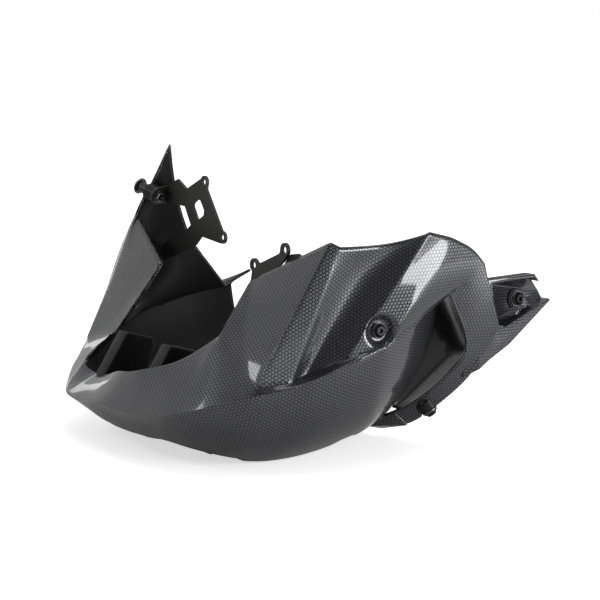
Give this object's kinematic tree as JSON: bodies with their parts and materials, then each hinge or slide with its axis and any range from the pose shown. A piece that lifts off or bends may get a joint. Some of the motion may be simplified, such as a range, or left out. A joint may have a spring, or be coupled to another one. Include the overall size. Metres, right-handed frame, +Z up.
{
  "type": "motorcycle belly pan",
  "caption": "Tub-shaped motorcycle belly pan with raised side wings, an open intake at the nose, a side vent, a rear tail arm and folded mounting brackets.",
  "frame": {"origin": "on the floor under the middle of the whole part's box, with the belly resting on the floor", "axes": "+Z up, -Y towards the nose and the front wheel, +X towards the left side of the motorcycle, which carries the tail arm"},
  "size_m": [0.4085, 0.399, 0.2871],
  "materials": {
    "carbon_shell": "glossy black with a woven carbon look outside, smooth black inside",
    "bracket_steel": "dark grey powder coat",
    "black_steel": "black oxide screws",
    "zinc_steel": "dark plated washers and nuts",
    "spacer_aluminium": "turned aluminium",
    "rubber": "matt black rubber"
  },
  "bodies": {
    "root": {"belly_shell": "carbon_shell", "right_bracket": "bracket_steel", "left_bracket": "bracket_steel", "left_bracket_pad": "rubber", "right_upper_screw": "black_steel", "right_upper_washer": "zinc_steel", "right_upper_spacer": "spacer_aluminium", "right_upper_nut": "zinc_steel", "right_lower_screw": "black_steel", "right_lower_washer": "zinc_steel", "right_lower_nut": "zinc_steel", "left_screw": "black_steel", "left_washer": "zinc_steel", "left_nut": "zinc_steel", "tail_screw": "black_steel", "tail_washer": "zinc_steel", "tail_grommet": "rubber", "tail_nut": "zinc_steel", "bottom_screw": "black_steel", "bottom_washer": "zinc_steel", "bottom_nut": "zinc_steel"}
  },
  "joints": []
}
